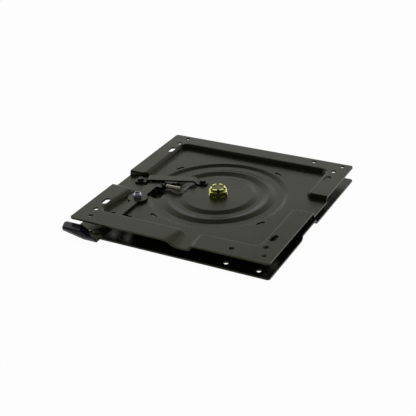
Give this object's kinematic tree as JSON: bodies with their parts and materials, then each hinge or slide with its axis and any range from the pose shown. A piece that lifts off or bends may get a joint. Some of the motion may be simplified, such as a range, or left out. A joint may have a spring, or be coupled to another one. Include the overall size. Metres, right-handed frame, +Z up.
{
  "type": "swivel seat base",
  "caption": "Flat square turntable of pressed steel plates on a central pivot, with a sprung hand lever that frees the upper plate so that a camper seat can be swung round.",
  "frame": {"origin": "on the swivel axis, level with the underside of the base plate's rim", "axes": "+Z is up along the swivel axis, -Y is the front edge with the handle, +X is to the right"},
  "size_m": [0.3694, 0.3795, 0.0344],
  "materials": {
    "black_coat": "satin",
    "bare_steel": "satin",
    "yellow_zinc": "satin",
    "white_zinc": "satin",
    "spring_steel": "satin",
    "grip_plastic": "gloss",
    "nut_insert": "matte",
    "slide_plastic": "matte"
  },
  "bodies": {
    "base": {"base_plate": "black_coat", "lock_disc": "bare_steel", "slip_ring": "slide_plastic", "pivot_bolt": "yellow_zinc", "spacer_bush": "bare_steel", "pivot_washer": "yellow_zinc", "castle_nut": "yellow_zinc", "nut_lock_pin": "white_zinc"},
    "seat": {"seat_plate": "black_coat", "glide_pad_1": "slide_plastic", "glide_pad_2": "slide_plastic", "glide_pad_3": "slide_plastic", "glide_pad_4": "slide_plastic", "keeper_strap": "black_coat", "strap_screw_left": "black_coat", "strap_screw_right": "black_coat", "lever_pivot_bolt": "black_coat", "lever_washer": "white_zinc", "lever_nut": "white_zinc", "lever_nut_insert": "nut_insert", "return_spring": "spring_steel"},
    "lever": {"release_lever": "black_coat", "handle_grip": "grip_plastic", "grip_rivet": "white_zinc"}
  },
  "joints": [
    {"name": "seat_swivel", "type": "hinge", "parent": "base", "child": "seat", "pos_m": [0, 0, 0.02], "axis": [0, 0, 1], "range_deg": [-180, 180]},
    {"name": "lever_turn", "type": "hinge", "parent": "seat", "child": "lever", "pos_m": [-0.1175, -0.072, 0.02335], "axis": [0, 0, 1], "range_deg": [-8, 3], "stiffness_Nm_per_rad": 5, "springref_deg": -11.46, "deforming": ["return_spring"]}
  ]
}
